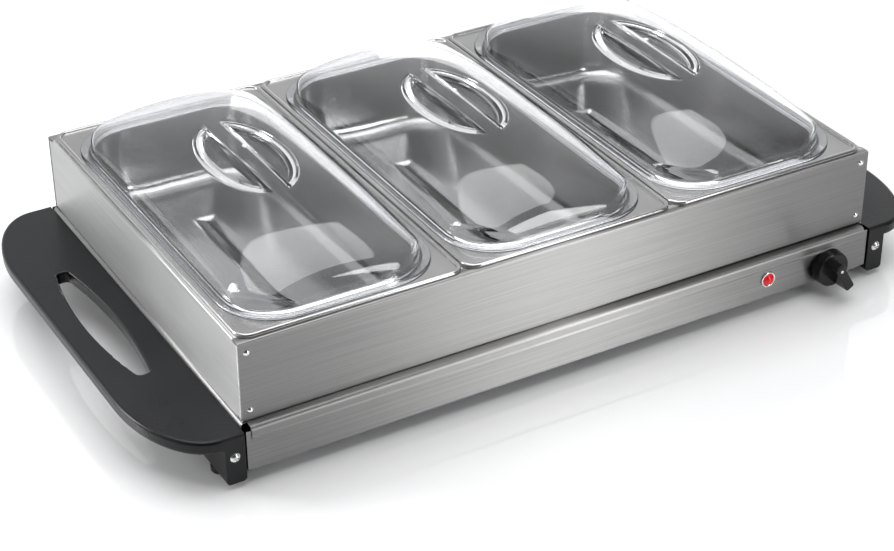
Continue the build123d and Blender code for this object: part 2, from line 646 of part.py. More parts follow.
def heater_wire():
    """Sheathed heating wire laid to and fro under the plate, both tails at the front right."""
    points = [(NEAR_TAIL_X, TAIL_Y, HEATER_LEVEL), (NEAR_TAIL_X, HEATER_FRONT, HEATER_LEVEL)]
    for run in range(HEATER_RUNS):
        y = HEATER_FRONT + run * HEATER_PITCH
        left = (-HEATER_HALF_LENGTH, y, HEATER_LEVEL)
        right = (HEATER_HALF_LENGTH, y, HEATER_LEVEL)
        if run > 0:
            points.append(left if run % 2 else right)
        if run < HEATER_RUNS - 1:
            points.append(right if run % 2 else left)
    points.append((FAR_TAIL_X, -HEATER_FRONT, HEATER_LEVEL))
    points.append((FAR_TAIL_X, TAIL_Y, HEATER_LEVEL))
    near_bend, far_bend = HEATER_TAIL_BENDS
    turns = [HEATER_PITCH / 2 - 0.01] * (2 * HEATER_RUNS - 2)
    return lead(points, WIRE_RADIUS, [near_bend] + turns + [far_bend])


def insulation_mat():
    length, depth = FUSE_WINDOW
    window = Pos(FUSE_X, FUSE_Y, MAT_BOTTOM + MAT_THICKNESS / 2) * Box(length, depth, MAT_THICKNESS)
    return slab(*MAT_SIZE, MAT_BOTTOM, MAT_TOP) - window


def heat_shield():
    """Shallow tray that holds the mat up under the heating wire."""
    floor = MAT_BOTTOM - FOLD_GAP
    rim = MAT_TOP - TRAY_RIM_DROP
    length, depth, corner = TRAY_SIZE
    tray = slab(length, depth, corner, floor - TRAY_SHEET, rim)
    inside = (length - 2 * TRAY_SHEET, depth - 2 * TRAY_SHEET, corner - TRAY_SHEET)
    return tray - slab(*inside, floor, rim)


def thermal_fuse():
    """Thermal cut-off held against the plate between two runs of the heating wire."""
    radius, length = FUSE_SIZE
    pin_radius, pin_length = FUSE_PIN
    near = FUSE_X - length / 2
    far = FUSE_X + length / 2
    fuse = rod_x(FUSE_Y, FUSE_LEVEL, radius, near, far)
    fuse += rod_x(FUSE_Y, FUSE_LEVEL, pin_radius, near - pin_length, near)
    return fuse + rod_x(FUSE_Y, FUSE_LEVEL, pin_radius, far, far + pin_length)


def fuse_clip():
    """Spring strap under the thermal cut-off, with two ears against the plate."""
    near = FUSE_X - CLIP_WIDTH / 2
    far = FUSE_X + CLIP_WIDTH / 2
    strap = rod_x(FUSE_Y, FUSE_LEVEL, CLIP_RADIUS, near, far)
    strap -= rod_x(FUSE_Y, FUSE_LEVEL, CLIP_RADIUS - CLIP_SHEET, near, far)
    above = 2 * CLIP_RADIUS
    strap -= block(near, far, FUSE_Y - above, FUSE_Y + above, FUSE_LEVEL, FUSE_LEVEL + above)
    ear_top = FUSE_LEVEL + 2 * CLIP_SHEET
    for side in (-1, 1):
        inner = FUSE_Y + side * (CLIP_RADIUS - CLIP_SHEET)
        bend = FUSE_Y + side * CLIP_RADIUS
        ear = bend + side * CLIP_EAR
        strap += block(near, far, inner, bend, FUSE_LEVEL, ear_top)
        strap += block(near, far, bend, ear, ear_top - CLIP_SHEET, ear_top)
    return strap


# ---- controls ---------------------------------------------------------------------------------
def thermostat_bracket():
    """Plate that clamps the thermostat behind the front panel."""
    length, thickness, height = BRACKET_SIZE
    back = THERMOSTAT_FRONT - BRACKET_GAP
    plate = Pos(KNOB_X, back - thickness / 2, CONTROL_Z) * Box(length, thickness, height)
    plate = fillet(plate.edges().filter_by(Axis.Y), BRACKET_CORNER)
    return plate - rod_y(KNOB_X, CONTROL_Z, BRACKET_BORE, back - thickness, back)


def thermostat_body():
    """Ceramic body with the shaft's bearing and two terminal tabs."""
    length, depth, height = THERMOSTAT_SIZE
    body = Pos(KNOB_X, THERMOSTAT_FRONT + depth / 2, CONTROL_Z - 0.5) * Box(length, depth, height)
    body = fillet(body.edges().filter_by(Axis.Y), THERMOSTAT_CORNER)
    bearing_end = THERMOSTAT_FRONT + SHAFT_ENGAGE + 1
    body -= rod_y(KNOB_X, CONTROL_Z, SHAFT_RADIUS + FIT, THERMOSTAT_FRONT, bearing_end)
    width, reach, thickness = TAB_SIZE
    for side in (-1, 1):
        x = KNOB_X + side * TAB_OFFSET
        tab_end = THERMOSTAT_BACK + reach
        body += block(
            x - width / 2, x + width / 2, THERMOSTAT_BACK, tab_end, TAB_BOTTOM, TAB_BOTTOM + thickness
        )
    return body


def bimetal_strip():
    """Bent bimetal strip standing behind the thermostat, near the plate."""
    width, thickness, reach = BIMETAL
    near = THERMOSTAT_BACK + SEAT_GAP
    foot = CONTROL_Z + 1.0
    top = foot + reach + 0.2
    upright = block(KNOB_X - width / 2, KNOB_X + width / 2, near, near + thickness, foot, top)
    return upright + block(
        KNOB_X - width / 2, KNOB_X + width / 2, near, near + reach, top - thickness, top
    )


def thermostat_shaft():
    """Round shaft with a flat at its outer end."""
    outer_end = KNOB_BACK - KNOB_SOCKET + 0.5
    shaft = rod_y(KNOB_X, CONTROL_Z, SHAFT_RADIUS, THERMOSTAT_FRONT + SHAFT_ENGAGE, outer_end)
    flat = block(-SHAFT_RADIUS, SHAFT_RADIUS, outer_end, KNOB_BACK - 1, SHAFT_FLAT, SHAFT_RADIUS)
    return shaft - Pos(KNOB_X, 0, CONTROL_Z) * flat


def knob_bezel():
    """Ring under the knob, with a collar through the front panel."""
    ring = Pos(0, 0, BEZEL_THICKNESS / 2) * Cylinder(BEZEL_RADIUS, BEZEL_THICKNESS)
    ring = chamfer(ring.edges().group_by(Axis.Z)[-1], BEZEL_CHAMFER)
    ring += Pos(0, 0, -COLLAR_LENGTH / 2) * Cylinder(COLLAR_RADIUS, COLLAR_LENGTH)
    ring -= Cylinder(BEZEL_BORE, 4 * BEZEL_THICKNESS)
    return Pos(KNOB_X, -PANEL_FACE, CONTROL_Z) * Rot(90, 0, 0) * ring


def knob_frame(shape):
    """Turn a shape drawn with the axis along +Z so that it stands out of the front panel."""
    return Pos(KNOB_X, KNOB_BACK, CONTROL_Z) * Rot(90, 0, 0) * Rot(0, 0, KNOB_REST_ANGLE) * shape


def dot_disc(clearance):
    """The pointer dot's disc, sunk in the end of the grip, before knob_frame."""
    radius, thickness, inset = KNOB_DOT
    length, width, height = GRIP_BLADE
    place = Pos(0, length / 2 - inset, KNOB_DISC + height - thickness / 2)
    return place * Cylinder(radius - clearance, thickness)


def control_knob():
    """Round base with an upright grip, a socket for the shaft and a seat for the dot."""
    length, width, height = GRIP_BLADE
    disc = Pos(0, 0, KNOB_DISC / 2) * Cone(KNOB_RADIUS, KNOB_RADIUS - KNOB_DRAFT, KNOB_DISC)
    disc = fillet(disc.edges().group_by(Axis.Z)[-1], KNOB_ROUND)
    foot = Pos(0, 0, KNOB_DISC - 1) * RectangleRounded(width, length, BLADE_CORNER)
    blade = extrude(foot, height + 1, taper=BLADE_TAPER)
    knob = disc + fillet(blade.edges().group_by(Axis.Z)[-1], BLADE_ROUND)
    knob -= Pos(0, 0, KNOB_SOCKET / 2) * Cylinder(SHAFT_RADIUS, KNOB_SOCKET)
    return knob_frame(knob - dot_disc(0))


def knob_pointer_dot():
    return knob_frame(dot_disc(FIT))


def indicator_lens():
    """Red domed lens with a hollow stem through the panel."""
    stem_radius, stem_length = LENS_STEM
    lens = Pos(0, 0, LENS_COLLAR) * dome_head(LENS_RADIUS, LENS_DOME)
    lens += Pos(0, 0, LENS_COLLAR / 2) * Cylinder(LENS_RADIUS, LENS_COLLAR)
    lens += Pos(0, 0, -stem_length / 2) * Cylinder(stem_radius, stem_length)
    lens -= Pos(0, 0, -stem_length / 2 - 1) * Cylinder(LENS_STEM_BORE, stem_length)
    return Pos(LAMP_X, -PANEL_FACE, LAMP_Z) * Rot(90, 0, 0) * lens


def indicator_bezel():
    """Plated ring round the lens."""
    height = LAMP_BEZEL_HEIGHT
    ring = Cylinder(LAMP_BEZEL_RADIUS, height) - Cylinder(LENS_RADIUS + LAMP_BEZEL_GAP, height)
    ring = fillet(ring.edges().group_by(Axis.Z)[-1], LAMP_BEZEL_ROUND)
    return Pos(LAMP_X, -PANEL_FACE, LAMP_Z) * Rot(90, 0, 0) * Pos(0, 0, height / 2) * ring


def neon_lamp():
    """Small glass lamp inside the lens stem, and its two stiff wires."""
    radius, length = NEON
    pin_radius, pin_length, pin_offset = NEON_PIN
    near = -PANEL_FACE + 2
    far = near + length
    lamp = rod_y(LAMP_X, LAMP_Z, radius, near, far)
    for x in (LAMP_X - pin_offset, LAMP_X + pin_offset):
        lamp += rod_y(x, LAMP_Z, pin_radius, far, far + pin_length)
    return lamp


def lamp_clip():
    """Push-on ring that holds the lens from behind."""
    radius, thickness = LAMP_CLIP
    near = -PANEL_FACE + SHEET + 0.1
    ring = rod_y(LAMP_X, LAMP_Z, radius, near, near + thickness)
    return ring - rod_y(LAMP_X, LAMP_Z, LENS_STEM[0] + FIT, near, near + thickness)


# ---- terminal block, wires and cord entry -----------------------------------------------------
def pole_columns():
    """X of the three poles of the terminal block: earth, neutral and live."""
    return [TERMINAL_X - POLE_PITCH, TERMINAL_X, TERMINAL_X + POLE_PITCH]


def terminal_block():
    """Three-way ceramic terminal block standing on the bottom cover."""
    length, height = TERMINAL_SIZE
    middle = (TERMINAL_FRONT + TERMINAL_BACK) / 2
    base = block(
        TERMINAL_X - length / 2,
        TERMINAL_X + length / 2,
        TERMINAL_FRONT,
        TERMINAL_BACK,
        INSIDE_FLOOR,
        INSIDE_FLOOR + height,
    )
    base = fillet(base.edges().filter_by(Axis.Z), TERMINAL_CORNER)
    for x in pole_columns():
        base -= rod_y(x, WIRE_Z, POLE_BORE, TERMINAL_FRONT, TERMINAL_BACK)
        base -= rod_z(x, middle, POLE_SCREW + FIT, WIRE_Z + 2, INSIDE_FLOOR + height)
    return base


def terminal_screws():
    middle = (TERMINAL_FRONT + TERMINAL_BACK) / 2
    screws = [rod_z(x, middle, POLE_SCREW, WIRE_Z + 2, WIRE_Z + 5) for x in pole_columns()]
    return Compound(children=screws)


def wire_live():
    """Terminal block to the underside of the thermostat's left tab."""
    x = pole_columns()[2]
    start = TERMINAL_FRONT - 1
    run = THERMOSTAT_BACK + TAB_SIZE[1] / 2
    tab = KNOB_X - TAB_OFFSET + TAB_SIZE[0] / 2
    return lead([(x, start, WIRE_Z), (x, run, WIRE_Z), (tab, run, WIRE_Z)], LEAD_RADIUS, 3.0)


def wire_load():
    """Thermostat's right tab up to the near tail of the heating wire."""
    x = KNOB_X + TAB_OFFSET
    z = TAB_BOTTOM + TAB_SIZE[2] / 2
    start = THERMOSTAT_BACK + TAB_SIZE[1] + 0.2
    rise = TAIL_Y + 2
    return lead([(x, start, z), (x, rise, z), (x, rise, LEAD_TOP)], LEAD_RADIUS, 3.0)


def wire_neutral():
    """Terminal block back to the far tail of the heating wire."""
    x = pole_columns()[1]
    start = TERMINAL_BACK + 1
    run = start + 13
    points = [(x, start, WIRE_Z), (x, run, WIRE_Z), (FAR_TAIL_X, run, WIRE_Z), (FAR_TAIL_X, run, LEAD_TOP)]
    return lead(points, LEAD_RADIUS, LEAD_BEND)


def wire_earth():
    """Terminal block to the earth stud on the bottom cover."""
    x = pole_columns()[0]
    start = TERMINAL_BACK + 1
    run = start + 15
    end = EARTH_Y - EARTH_TAG[1] / 2 - 0.5
    points = [(x, start, WIRE_Z), (x, run, WIRE_Z), (EARTH_X, run, WIRE_Z), (EARTH_X, end, WIRE_Z)]
    return lead(points, LEAD_RADIUS, LEAD_BEND)


def earth_stud():
    """Stud on the bottom cover and the ring tag on it."""
    radius, height = EARTH_STUD
    width, length, thickness = EARTH_TAG
    stud = rod_z(EARTH_X, EARTH_Y, radius, INSIDE_FLOOR, INSIDE_FLOOR + height)
    tag = Pos(EARTH_X, EARTH_Y, WIRE_Z) * (Box(width, length, thickness) - Cylinder(radius + FIT, thickness))
    return Compound(children=[stud, tag])


def cord_gland():
    """Flanged bush through the rear panel, with the bore that the mains cord enters by."""
    nut_radius, nut_thickness = GLAND_NUT
    bush = Pos(0, 0, GLAND_STAND_OUT - GLAND_LENGTH / 2) * Cylinder(GLAND_BODY, GLAND_LENGTH)
    flange = Pos(0, 0, GLAND_STAND_OUT / 2) * Cylinder(GLAND_FLANGE, GLAND_STAND_OUT)
    bush += fillet(flange.edges().group_by(Axis.Z)[-1], GLAND_ROUND)
    nut_middle = -SHEET - GLAND_NUT_GAP - nut_thickness / 2
    bush += Pos(0, 0, nut_middle) * Cylinder(nut_radius, nut_thickness)
    bush -= Cylinder(GLAND_BORE, 4 * GLAND_LENGTH)
    return Pos(GLAND_X, PANEL_FACE, CONTROL_Z) * Rot(-90, 0, 0) * bush


# ---- write every node -------------------------------------------------------------------------
def main():
    os.makedirs("parts", exist_ok=True)

    front_panel = frame_front_panel()
    save("frame_front_panel", front_panel)
    save("frame_rear_panel", mirror(front_panel, about=Plane.XZ))
    side_left, side_right = both_ends(frame_side_left())
    save("frame_side_left", side_left)
    save("frame_side_right", side_right)
    save("frame_rivets", frame_rivets())
    save("divider_bar_left", divider_bar(-CELL_PITCH / 2))
    save("divider_bar_right", divider_bar(CELL_PITCH / 2))

    one_pan = pan()
    one_lid = lid()
    for number, name in enumerate(("left", "middle", "right")):
        place = Pos((number - 1) * CELL_PITCH, 0, 0)
        save(f"pan_{name}", place * one_pan)
        save(f"lid_{name}", place * one_lid)

    save("hot_plate", hot_plate())
    save("base_front_panel", base_panel(front=True))
    save("base_rear_panel", base_panel(front=False))
    base_left, base_right = both_ends(base_side_left())
    save("base_side_left", base_left)
    save("base_side_right", base_right)
    save("bottom_cover", bottom_cover())
    save("cover_screws", cover_screws())
    left, right = both_ends(handle_left())
    save("handle_left", left)
    save("handle_right", right)
    save("handle_screws", handle_screws())
    save("rubber_feet", rubber_feet())

    save("heater_foil", heater_foil())
    save("heater_wire", heater_wire())
    save("insulation_mat", insulation_mat())
    save("heat_shield", heat_shield())
    save("thermal_fuse", thermal_fuse())
    save("fuse_clip", fuse_clip())

    save("thermostat_bracket", thermostat_bracket())
    save("thermostat_body", thermostat_body())
    save("bimetal_strip", bimetal_strip())
    save("thermostat_shaft", thermostat_shaft())
    save("knob_bezel", knob_bezel())
    save("control_knob", control_knob())
    save("knob_pointer_dot", knob_pointer_dot())
    save("indicator_lens", indicator_lens())
    save("indicator_bezel", indicator_bezel())
    save("neon_lamp", neon_lamp())
    save("lamp_clip", lamp_clip())
    save("terminal_block", terminal_block())
    save("terminal_screws", terminal_screws())
    save("wire_live", wire_live())
    save("wire_load", wire_load())
    save("wire_neutral", wire_neutral())
    save("wire_earth", wire_earth())
    save("earth_stud", earth_stud())
    save("cord_gland", cord_gland())


main()
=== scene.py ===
import math
import bpy
from mathutils import Matrix, Vector


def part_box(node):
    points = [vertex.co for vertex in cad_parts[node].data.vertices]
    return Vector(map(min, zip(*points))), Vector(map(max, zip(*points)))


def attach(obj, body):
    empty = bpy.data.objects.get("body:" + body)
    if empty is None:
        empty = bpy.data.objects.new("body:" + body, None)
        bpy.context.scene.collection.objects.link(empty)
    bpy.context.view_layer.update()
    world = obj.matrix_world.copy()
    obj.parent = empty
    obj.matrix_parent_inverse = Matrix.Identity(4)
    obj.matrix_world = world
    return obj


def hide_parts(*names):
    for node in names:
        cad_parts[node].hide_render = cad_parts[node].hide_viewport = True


# Electric buffet server on a pale studio floor.  Metres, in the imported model's frame: +X to
# the right along the front, +Y to the back, +Z up, the floor at z = 0.

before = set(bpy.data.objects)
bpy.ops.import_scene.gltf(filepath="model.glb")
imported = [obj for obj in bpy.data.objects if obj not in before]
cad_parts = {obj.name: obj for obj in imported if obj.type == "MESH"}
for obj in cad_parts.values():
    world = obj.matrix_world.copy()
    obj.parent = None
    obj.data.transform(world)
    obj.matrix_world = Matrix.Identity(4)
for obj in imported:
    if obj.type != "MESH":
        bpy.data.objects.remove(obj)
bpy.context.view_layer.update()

MM = 0.001

# ---- viewpoint and lights --------------------------------------------------------------------
CAMERA_PLACE = Vector((-0.7516, -1.2922, 0.9088))
CAMERA_AZIMUTH = math.radians(29.72)
CAMERA_ELEVATION = math.radians(31.42)
CAMERA_ROLL = math.radians(0.453)
CAMERA_LENS = 87.37
SENSOR_WIDTH = 36.0
FLOOR_HALF = 6.0
WORLD_COLOUR = (0.98, 0.99, 1.0, 1)
WORLD_FRONT = 0.07          # brightness of the surroundings in front of the object
WORLD_BACK = 0.85           # and behind it
WORLD_BLEND = (-0.75, 0.35)     # directions along Y between which the one turns into the other
SOFTBOXES = (               # name, place, aim, width and height, watts
    ("overhead", (0.0, 0.2, 2.4), (0.0, 0.0, 0.0), (2.6, 2.6), 52),
    ("front_right", (0.97, -1.92, 0.85), (0.05, 0.0, 0.06), (0.42, 1.6), 15),
    ("back_right", (1.75, 1.95, 0.45), (0.1, 0.0, 0.12), (1.8, 0.8), 6),
    ("back_left", (-1.8, 1.15, 0.75), (-0.27, 0.0, 0.08), (0.5, 1.1), 26),
)

# ---- looks -----------------------------------------------------------------------------------
NOISE_RANGE = (0.3, 0.7)    # the part of a noise signal that is spread over a look's range
BRUSH_SCALE = 1400.0        # scratches of brushed steel
BRUSH_STRETCH = 0.006       # their scale along the grain, as a share of that across it
BRUSH_CLOUD = 9.0           # scale of its broad uneven patches
BRUSH_ANISOTROPY = 0.97
PLASTIC_GRAIN = 1600.0      # scale of a moulding's fine grain
PLASTIC_BUMP = 0.12         # and its strength

# ---- sizes that the custom pieces share with the CAD parts -----------------------------------
PAN_SHEET = 0.6 * MM
BEAD_WIDTH = 3.6 * MM
BEAD_HEIGHT = 2.2 * MM
PAN_OPENING = (75.5 * MM, 156.0 * MM)
PAN_CORNER = 40.0 * MM
PAN_RIM_CORNER = 11.0 * MM
PAN_TAPER = math.radians(5.0)
PAN_SHOULDER = 3.0 * MM
PAN_FLOOR_ROUND = 12.0 * MM

LID_WALL = 2.0 * MM
LID_FLANGE_THICKNESS = 1.6 * MM
LID_FLANGE_CORNER = 45.0 * MM
LID_RIB_DEPTH = 2.4 * MM
LID_RIB_CLEARANCE = 1.2 * MM
GRIP_HALF_WIDTH = 31.0 * MM
GRIP_HALF_LENGTH = 59.0 * MM
GRIP_BAR_HALF = 8.0 * MM
GRIP_DEPTH = 12.0 * MM

# ---- sizes of their finer detail -------------------------------------------------------------
BEAD_DROP = 0.85 * MM       # lower edge of a pan's rim below its deck
BEAD_FOOT = 0.5 * MM        # where the bead runs out onto the deck
BEAD_FOOT_STEP = 0.15 * MM
BEAD_FOOT_CORNER = 0.4 * MM     # how much tighter the corners are at that foot
BEAD_STEPS = 9
SMALLEST_CORNER = 0.5 * MM
FLOOR_STEPS = 8
WALL_MARGIN = 0.2 * MM      # a pan's wall proper starts this far from its floor and deck

DOME_POWER_X = 2.0          # roundness of the dome across
DOME_POWER_Y = 2.5          # and along, where it stays fuller
DOME_EDGE = 18.0 * MM       # how far in from the foot the dome's edge rolls over
DOME_BLEND = 4              # sharpness of the change from that edge to the dome
LID_FOOT_ROUND = 1.6 * MM
LID_FOOT_LAND = 2.2 * MM    # level strip round the foot of the dome
LID_EASE = (0.2 * MM, 0.4 * MM, 0.5 * MM)   # small eased corners of the flange and the rib
GRIP_DRAFT = 0.6 * MM
GRIP_SLOPE = 4.5 * MM       # extra lean of a pocket's outer wall
GRIP_RIM_ROUND = 1.3 * MM
GRIP_INNER_EDGE = 0.3 * MM  # the same edge on the lid's underside
GRIP_FLOOR_ROUND = 2.2 * MM
GRIP_WALL_MARGIN = (0.5 * MM, 0.8 * MM)     # wall rows kept clear of the rim and of the floor
GRIP_FLOOR_MARGIN = 0.6 * MM
ARC_STEPS = 72
BAR_ROWS = 40
CAP_STEPS = 8
DOME_STEPS = 34
GATE_MARK = (               # radius and height above the grip bar, in mm
    (0.2, 0.05), (0.9, 0.05), (1.2, 0.12), (1.5, 0.28), (1.8, 0.34), (2.1, 0.28), (2.3, 0.1), (2.3, -0.4),
)


# ---- small helpers ---------------------------------------------------------------------------
def lerp(a, b, t):
    """The value that lies a share t of the way from a to b."""
    return a + (b - a) * t


def mesh_object(name, vertices, faces):
    """A smooth-shaded mesh object from vertices and faces."""
    mesh = bpy.data.meshes.new(name)
    mesh.from_pydata([tuple(v) for v in vertices], [], faces)
    mesh.validate()
    mesh.update()
    for polygon in mesh.polygons:
        polygon.use_smooth = True
    piece = bpy.data.objects.new(name, mesh)
    bpy.context.scene.collection.objects.link(piece)
    return piece


def rounded_ring(half_x, half_y, corner, z, centre=(0.0, 0.0), per_corner=14):
    """Points round a rectangle with round corners, anticlockwise seen from above."""
    points = []
    corner = min(corner, half_x, half_y)
    for quarter, (sx, sy) in enumerate(((1, 1), (-1, 1), (-1, -1), (1, -1))):
        for step in range(per_corner + 1):
            angle = math.radians(90) * (quarter + step / per_corner)
            x = sx * (half_x - corner) + corner * math.cos(angle)
            y = sy * (half_y - corner) + corner * math.sin(angle)
            points.append(Vector((centre[0] + x, centre[1] + y, z)))
    return points


def loft(name, rings, cap_start=False, cap_end=False, closed=False):
    """Skin a list of rings that all have the same number of points."""
    count = len(rings[0])
    vertices = [point for ring in rings for point in ring]
    faces = []
    last = len(rings) if closed else len(rings) - 1
    for i in range(last):
        j = (i + 1) % len(rings)
        for k in range(count):
            m = (k + 1) % count
            faces.append((i * count + k, i * count + m, j * count + m, j * count + k))
    if cap_start:
        faces.append(tuple(reversed(range(count))))
    if cap_end:
        faces.append(tuple((len(rings) - 1) * count + k for k in range(count)))
    return mesh_object(name, vertices, faces)


# ---- materials -------------------------------------------------------------------------------
def material(name):
    """A node material and its Principled shader."""
    made = bpy.data.materials.new(name)
    made.use_nodes = True
    return made, made.node_tree.nodes, made.node_tree.links, made.node_tree.nodes["Principled BSDF"]


def noise(nodes, links, scale, stretch=(1, 1, 1), detail=3.0, seed=0.0):
    """Noise in the object's own metres, stretched along an axis where asked."""
    place = nodes.new("ShaderNodeTexCoord")
    mapping = nodes.new("ShaderNodeMapping")
    mapping.inputs["Scale"].default_value = stretch
    mapping.inputs["Location"].default_value = (seed, seed * 0.7, seed * 1.3)
    links.new(place.outputs["Object"], mapping.inputs["Vector"])
    made = nodes.new("ShaderNodeTexNoise")
    made.inputs["Scale"].default_value = scale
    made.inputs["Detail"].default_value = detail
    links.new(mapping.outputs["Vector"], made.inputs["Vector"])
    return made.outputs["Fac"]


def spread(nodes, links, source, low, high):
    """Map a 0 to 1 signal onto a range."""
    made = nodes.new("ShaderNodeMapRange")
    made.inputs["From Min"].default_value, made.inputs["From Max"].default_value = NOISE_RANGE
    made.inputs["To Min"].default_value = low
    made.inputs["To Max"].default_value = high
    links.new(source, made.inputs["Value"])
    return made.outputs["Result"]


def tint(nodes, links, source, dark, light):
    """Blend two colours by a 0 to 1 signal."""
    ramp = nodes.new("ShaderNodeValToRGB")
    for element, position, colour in zip(ramp.color_ramp.elements, NOISE_RANGE, (dark, light)):
        element.position = position
        element.color = (*colour, 1)
    links.new(source, ramp.inputs["Fac"])
    return ramp.outputs["Color"]


def bump(nodes, links, source, shader, strength, distance):
    """Raise the surface by a signal, in metres."""
    made = nodes.new("ShaderNodeBump")
    made.inputs["Strength"].default_value = strength
    made.inputs["Distance"].default_value = distance
    links.new(source, made.inputs["Height"])
    links.new(made.outputs["Normal"], shader.inputs["Normal"])


def brushed_steel(name, grain, dark, light, rough):
    """Stainless sheet with fine scratches that run along one axis and blur lights across it."""
    made, nodes, links, shader = material(name)
    stretch = [BRUSH_STRETCH if axis == grain else 1.0 for axis in "XYZ"]
    fine = noise(nodes, links, BRUSH_SCALE, stretch, detail=2.0)
    broad = noise(nodes, links, BRUSH_CLOUD, detail=2.0, seed=3.0)
    links.new(tint(nodes, links, fine, dark, light), shader.inputs["Base Color"])
    half = nodes.new("ShaderNodeMath")
    half.operation = "MULTIPLY"
    half.inputs[1].default_value = 0.5
    links.new(broad, half.inputs[0])
    mean = nodes.new("ShaderNodeMath")
    mean.operation = "MULTIPLY_ADD"
    mean.inputs[1].default_value = 0.5
    links.new(fine, mean.inputs[0])
    links.new(half.outputs[0], mean.inputs[2])
    links.new(spread(nodes, links, mean.outputs[0], rough - 0.05, rough + 0.06), shader.inputs["Roughness"])
    shader.inputs["Metallic"].default_value = 1.0
    shader.inputs["Anisotropic"].default_value = BRUSH_ANISOTROPY
    shader.inputs["Anisotropic Rotation"].default_value = 0.25
    tangent = nodes.new("ShaderNodeTangent")
    tangent.direction_type = "RADIAL"
    tangent.axis = "Z"
    links.new(tangent.outputs["Tangent"], shader.inputs["Tangent"])
    bump(nodes, links, fine, shader, 0.12, 0.04 * MM)
    return made


def pressed_steel():
    """Half-polished stainless of the pans."""
    made, nodes, links, shader = material("pressed_stainless_look")
    cloud = noise(nodes, links, 22.0, detail=4.0)
    fine = noise(nodes, links, 900.0, (1, 0.05, 1), detail=2.0)
    colour = tint(nodes, links, cloud, (0.39, 0.387, 0.384), (0.46, 0.457, 0.454))
    links.new(colour, shader.inputs["Base Color"])
    links.new(spread(nodes, links, fine, 0.15, 0.24), shader.inputs["Roughness"])
    shader.inputs["Metallic"].default_value = 1.0
    bump(nodes, links, fine, shader, 0.05, 0.03 * MM)
    return made


def clear_plastic():
    """Clear moulded lid."""
    made, nodes, links, shader = material("clear_plastic_look")
    haze = noise(nodes, links, 14.0, detail=3.0)
    links.new(spread(nodes, links, haze, 0.015, 0.05), shader.inputs["Roughness"])
    colour = tint(nodes, links, haze, (0.955, 0.965, 0.985), (0.985, 0.99, 1.0))
    links.new(colour, shader.inputs["Base Color"])
    shader.inputs["Transmission Weight"].default_value = 1.0
    shader.inputs["IOR"].default_value = 1.46
    return made


def moulded_plastic(name, dark, light, rough, grain=PLASTIC_GRAIN, strength=PLASTIC_BUMP, specular=0.5):
    """Plastic, rubber, felt or ceramic with a fine grain."""
    made, nodes, links, shader = material(name)
    fine = noise(nodes, links, grain, detail=2.0)
    cloud = noise(nodes, links, 18.0, detail=3.0, seed=5.0)
    links.new(tint(nodes, links, cloud, dark, light), shader.inputs["Base Color"])
    links.new(spread(nodes, links, cloud, rough - 0.04, rough + 0.05), shader.inputs["Roughness"])
    shader.inputs["Specular IOR Level"].default_value = specular
    bump(nodes, links, fine, shader, strength, 0.05 * MM)
    return made


def plated_metal(name, dark, light, rough):
    """Bright plated or plain metal with faint handling marks."""
    made, nodes, links, shader = material(name)
    cloud = noise(nodes, links, 160.0, detail=4.0)
    links.new(tint(nodes, links, cloud, dark, light), shader.inputs["Base Color"])
    links.new(spread(nodes, links, cloud, rough - 0.04, rough + 0.06), shader.inputs["Roughness"])
    shader.inputs["Metallic"].default_value = 1.0
    return made


def red_lens():
    """Clear red lens, glowing faintly from the lamp behind it."""
    made, nodes, links, shader = material("red_lens_look")
    cloud = noise(nodes, links, 380.0, detail=2.0)
    colour = tint(nodes, links, cloud, (0.45, 0.0, 0.004), (0.75, 0.008, 0.015))
    links.new(colour, shader.inputs["Base Color"])
    links.new(spread(nodes, links, cloud, 0.06, 0.14), shader.inputs["Roughness"])
    shader.inputs["Transmission Weight"].default_value = 0.35
    shader.inputs["IOR"].default_value = 1.5
    shader.inputs["Emission Color"].default_value = (1.0, 0.02, 0.03, 1)
    shader.inputs["Emission Strength"].default_value = 0.2
    return made


def floor_white():
    """Pale glossy studio floor."""
    made, nodes, links, shader = material("studio_floor")
    cloud = noise(nodes, links, 2.0, detail=2.0)
    colour = tint(nodes, links, cloud, (0.86, 0.86, 0.865), (0.88, 0.88, 0.885))
    links.new(colour, shader.inputs["Base Color"])
    shader.inputs["Roughness"].default_value = 0.05
    shader.inputs["Specular IOR Level"].default_value = 0.9
    return made


# ---- finishes for the CAD nodes --------------------------------------------------------------
def paint(look, *nodes):
    """Give CAD nodes a finish by their material slots."""
    for name in nodes:
        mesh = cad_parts[name].data
        for index in range(max(1, len(mesh.materials))):
            if index < len(mesh.materials):
                mesh.materials[index] = look
            else:
                mesh.materials.append(look)


